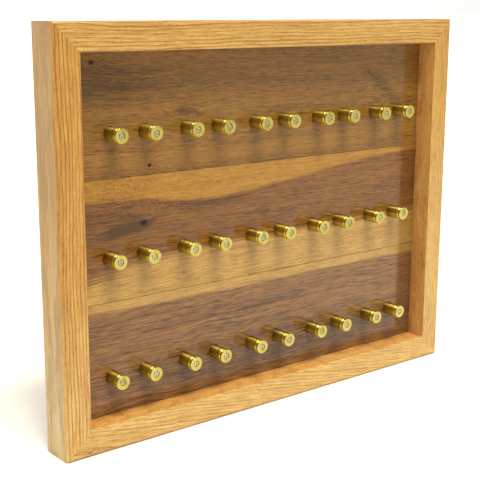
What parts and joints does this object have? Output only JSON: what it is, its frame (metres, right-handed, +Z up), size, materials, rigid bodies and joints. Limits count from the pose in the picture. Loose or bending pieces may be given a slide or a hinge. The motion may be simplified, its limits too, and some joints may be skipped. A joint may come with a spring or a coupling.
{
  "type": "shadow box",
  "caption": "Open-front shadow box for coins and other round collectibles: a mitred oak frame around walnut boards, with rows of paired brass casing pegs that carry one piece each.",
  "frame": {"origin": "middle of the footprint, on the surface that the box stands on", "axes": "+X to the right seen from the front, -Y out of the open front, +Z up"},
  "size_m": [0.357, 0.0314, 0.2794],
  "materials": {
    "oak": "satin clear-coated red oak",
    "walnut": "glossy clear-coated black walnut with sapwood bands",
    "brass": "polished",
    "nickel": "dull nickel plate",
    "zinc_steel": "bright zinc plate",
    "rubber": "matt"
  },
  "bodies": {
    "frame": {"rail_left": "oak", "rail_top": "oak", "rail_right": "oak", "rail_bottom": "oak", "board_top": "walnut", "board_middle": "walnut", "board_bottom": "walnut", "peg_r1_c1": "brass", "peg_r1_c2": "brass", "peg_r1_c3": "brass", "peg_r1_c4": "brass", "peg_r1_c5": "brass", "peg_r1_c6": "brass", "peg_r1_c7": "brass", "peg_r1_c8": "brass", "peg_r1_c9": "brass", "peg_r1_c10": "brass", "peg_r2_c1": "brass", "peg_r2_c2": "brass", "peg_r2_c3": "brass", "peg_r2_c4": "brass", "peg_r2_c5": "brass", "peg_r2_c6": "brass", "peg_r2_c7": "brass", "peg_r2_c8": "brass", "peg_r2_c9": "brass", "peg_r2_c10": "brass", "peg_r3_c1": "brass", "peg_r3_c2": "brass", "peg_r3_c3": "brass", "peg_r3_c4": "brass", "peg_r3_c5": "brass", "peg_r3_c6": "brass", "peg_r3_c7": "brass", "peg_r3_c8": "brass", "peg_r3_c9": "brass", "peg_r3_c10": "brass", "v_nail_bottom_left": "zinc_steel", "v_nail_bottom_right": "zinc_steel", "v_nail_top_left": "zinc_steel", "v_nail_top_right": "zinc_steel", "button_screw_lower_left": "zinc_steel", "button_screw_lower_right": "zinc_steel", "button_screw_upper_left": "zinc_steel", "button_screw_upper_right": "zinc_steel", "hanger_strap_left": "zinc_steel", "hanger_screw_left": "zinc_steel", "bumper_left": "rubber", "hanger_strap_right": "zinc_steel", "hanger_screw_right": "zinc_steel", "bumper_right": "rubber"},
    "turn_button_lower_left": {"turn_button_lower_left": "zinc_steel"},
    "turn_button_lower_right": {"turn_button_lower_right": "zinc_steel"},
    "turn_button_upper_left": {"turn_button_upper_left": "zinc_steel"},
    "turn_button_upper_right": {"turn_button_upper_right": "zinc_steel"},
    "hanger_ring_left": {"hanger_ring_left": "zinc_steel"},
    "hanger_ring_right": {"hanger_ring_right": "zinc_steel"}
  },
  "joints": [
    {"name": "turn_button_lower_left_pivot", "type": "hinge", "parent": "frame", "child": "turn_button_lower_left", "pos_m": [-0.17245, 0.0115, 0.062], "axis": [0, 1, 0], "range_deg": [-90, 90]},
    {"name": "turn_button_lower_right_pivot", "type": "hinge", "parent": "frame", "child": "turn_button_lower_right", "pos_m": [0.17245, 0.0115, 0.062], "axis": [0, 1, 0], "range_deg": [-90, 90]},
    {"name": "turn_button_upper_left_pivot", "type": "hinge", "parent": "frame", "child": "turn_button_upper_left", "pos_m": [-0.17245, 0.0115, 0.172], "axis": [0, 1, 0], "range_deg": [-90, 90]},
    {"name": "turn_button_upper_right_pivot", "type": "hinge", "parent": "frame", "child": "turn_button_upper_right", "pos_m": [0.17245, 0.0115, 0.172], "axis": [0, 1, 0], "range_deg": [-90, 90]},
    {"name": "hanger_ring_left_swing", "type": "hinge", "parent": "frame", "child": "hanger_ring_left", "pos_m": [-0.1689, 0.0129, 0.228], "axis": [1, 0, 0], "range_deg": [0, 180]},
    {"name": "hanger_ring_right_swing", "type": "hinge", "parent": "frame", "child": "hanger_ring_right", "pos_m": [0.1689, 0.0129, 0.228], "axis": [1, 0, 0], "range_deg": [0, 180]}
  ]
}
